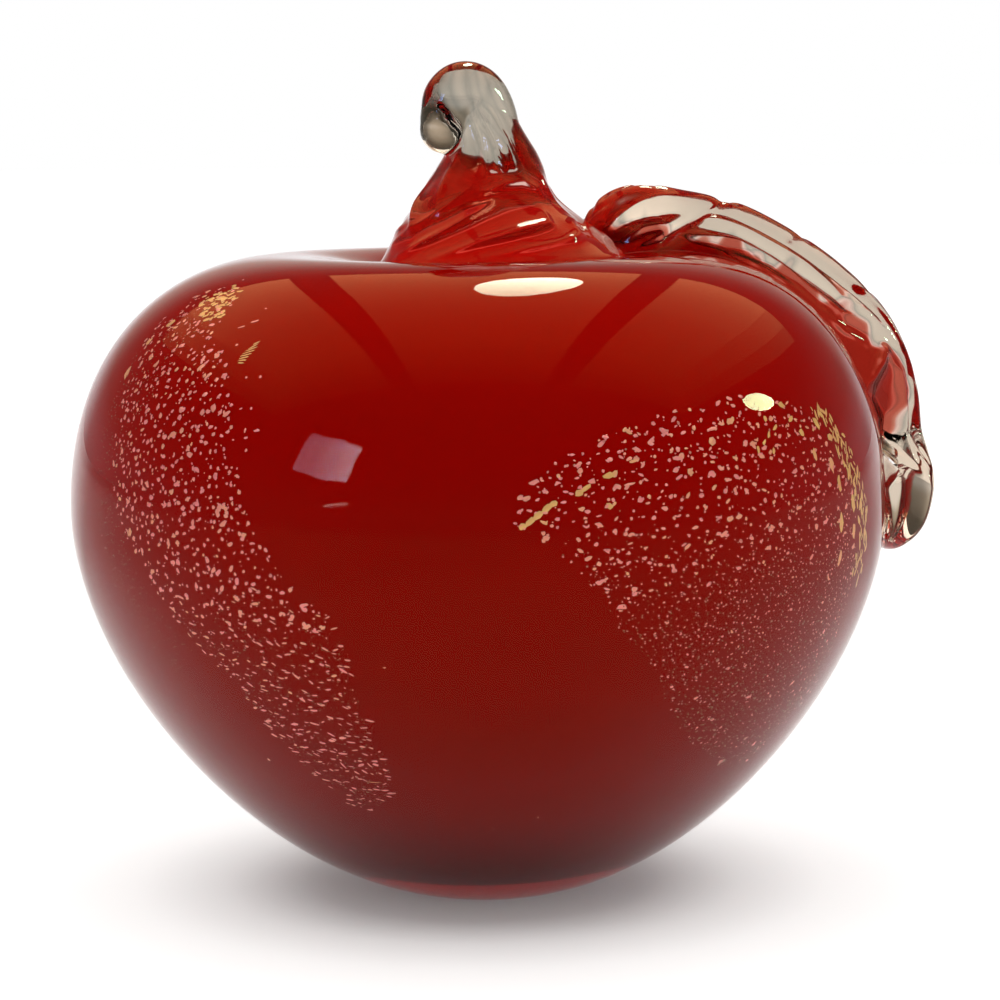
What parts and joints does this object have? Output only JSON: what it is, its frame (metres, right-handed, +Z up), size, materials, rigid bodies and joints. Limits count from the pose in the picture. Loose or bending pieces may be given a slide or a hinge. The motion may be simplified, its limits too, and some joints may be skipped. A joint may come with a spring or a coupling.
{
  "type": "glass apple ornament",
  "caption": "Free-standing blown glass apple with a cased red body, crackled gold leaf, a clear twisted stem and a clear trailing leaf.",
  "frame": {"origin": "centre of the ground foot that the apple stands on", "axes": "+Z up along the body's axis; -Y is the front; +X is the side that the leaf trails down, set back towards +Y"},
  "size_m": [0.1171, 0.109, 0.1105],
  "materials": {
    "red_glass": "opaque red glass, glossy",
    "clear_casing_glass": "clear glass, fire polished",
    "clear_bit_glass": "clear glass with a faint warm tint, fire polished",
    "gold_leaf": "crackled gold leaf, warm pinkish gold"
  },
  "bodies": {
    "root": {"red_core": "red_glass", "clear_casing": "clear_casing_glass", "gold_leaf_left": "gold_leaf", "gold_leaf_right": "gold_leaf", "gold_leaf_flecks": "gold_leaf", "stem": "clear_bit_glass", "leaf": "clear_bit_glass"}
  },
  "joints": []
}
